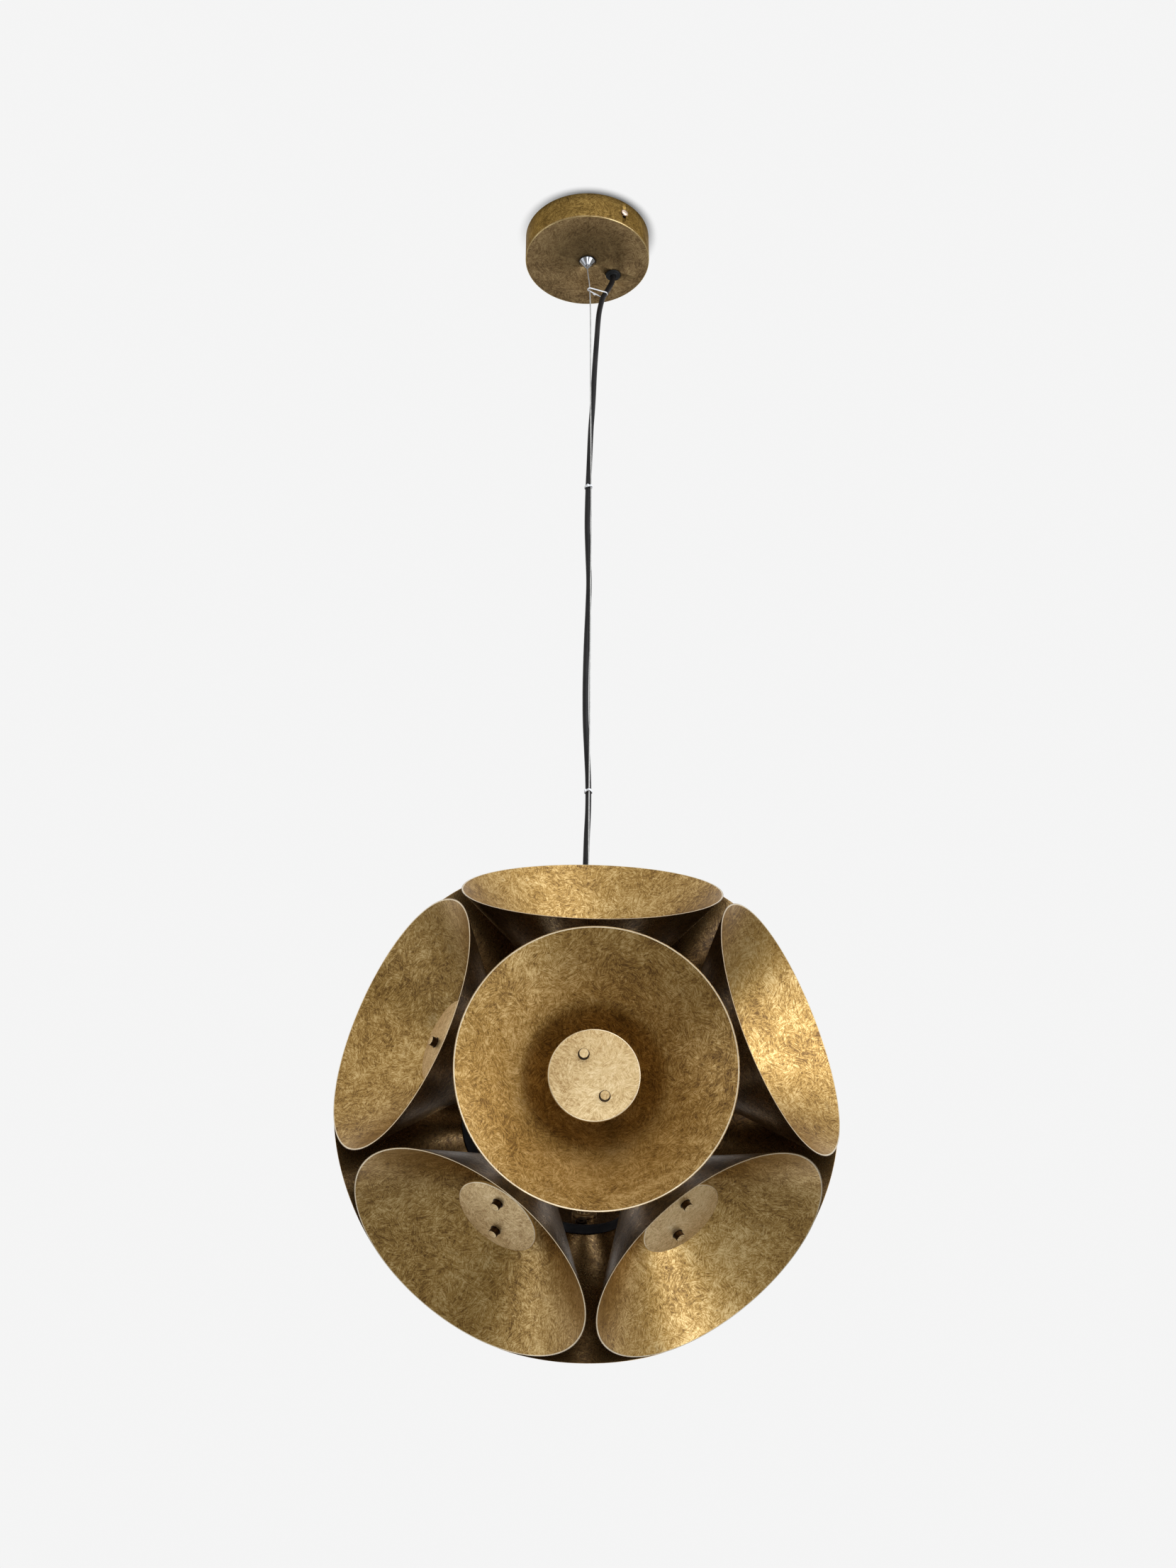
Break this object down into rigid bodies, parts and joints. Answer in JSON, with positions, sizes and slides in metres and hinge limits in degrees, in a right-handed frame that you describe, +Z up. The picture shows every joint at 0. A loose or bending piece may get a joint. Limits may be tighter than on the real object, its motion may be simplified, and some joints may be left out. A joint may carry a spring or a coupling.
{
  "type": "pendant lamp",
  "caption": "Pendant lamp: a ball of outward facing brass cones with reflector discs round a hub, hung by a steel wire and a black cable from a round ceiling canopy",
  "frame": {"origin": "on the ceiling, at the middle of the ceiling plate's top face", "axes": "+Z up, -Y where the front cone of the lower middle ring faces"},
  "size_m": [0.4798, 0.451, 1.3433],
  "materials": {
    "patinated_brass": "antique patina, mottled and lightly brushed, satin; dark brown on the cones' outside",
    "brass_leaf": "pale satin leaf",
    "brass": "satin",
    "chrome": "polished",
    "steel": "zinc plated",
    "wire_rope": "stranded",
    "black_plastic": "matt",
    "cable_sheath": "satin",
    "white_nylon": "satin",
    "black_rubber": "matt",
    "white_plastic": "matt"
  },
  "bodies": {
    "ceiling": {"canopy_cup": "patinated_brass", "canopy_screw_1": "brass", "canopy_screw_2": "brass", "ceiling_plate": "steel", "terminal_block": "white_plastic", "led_driver": "white_plastic", "wire_gripper": "chrome", "gripper_nut": "steel", "wire_tail": "wire_rope", "cable_grommet": "black_rubber", "power_cable_upper": "cable_sheath"},
    "sleeve": {"gripper_sleeve": "chrome"},
    "suspension": {"steel_wire": "wire_rope", "power_cable": "cable_sheath", "cable_tie_1": "white_nylon", "cable_tie_2": "white_nylon", "cable_tie_3": "white_nylon", "wire_stop": "steel", "cable_splice": "white_plastic"},
    "lamp": {"hub_upper": "brass", "hub_lower": "brass", "hub_bolt": "steel", "hanger_nipple": "brass", "nipple_nut": "brass", "shade_01": "patinated_brass", "shade_02": "patinated_brass", "shade_03": "patinated_brass", "shade_04": "patinated_brass", "shade_05": "patinated_brass", "shade_06": "patinated_brass", "shade_07": "patinated_brass", "shade_08": "patinated_brass", "shade_09": "patinated_brass", "shade_10": "patinated_brass", "shade_11": "patinated_brass", "shade_12": "patinated_brass", "disc_01": "brass_leaf", "disc_02": "brass_leaf", "disc_03": "brass_leaf", "disc_04": "brass_leaf", "disc_05": "brass_leaf", "disc_06": "brass_leaf", "disc_07": "brass_leaf", "disc_08": "brass_leaf", "disc_09": "brass_leaf", "disc_10": "brass_leaf", "disc_11": "brass_leaf", "disc_12": "brass_leaf", "led_module_01": "black_plastic", "led_module_02": "black_plastic", "led_module_03": "black_plastic", "led_module_04": "black_plastic", "led_module_05": "black_plastic", "led_module_06": "black_plastic", "led_module_07": "black_plastic", "led_module_08": "black_plastic", "led_module_09": "black_plastic", "led_module_10": "black_plastic", "led_module_11": "black_plastic", "led_module_12": "black_plastic"}
  },
  "joints": [
    {"name": "sleeve_press", "type": "slide", "parent": "ceiling", "child": "sleeve", "axis": [0, 0, 1], "range_m": [0, 0.0024], "stiffness_N_per_m": 400, "springref_m": -0.001},
    {"name": "swing", "type": "hinge", "parent": "ceiling", "child": "suspension", "pos_m": [0, 0, -0.0475], "axis": [0.8329, 0.5534, 0], "range_deg": [-20, 20]},
    {"name": "twist", "type": "hinge", "parent": "suspension", "child": "lamp", "pos_m": [0, 0, -1.0766], "axis": [0, 0, 1], "range_deg": [-170, 170]}
  ]
}
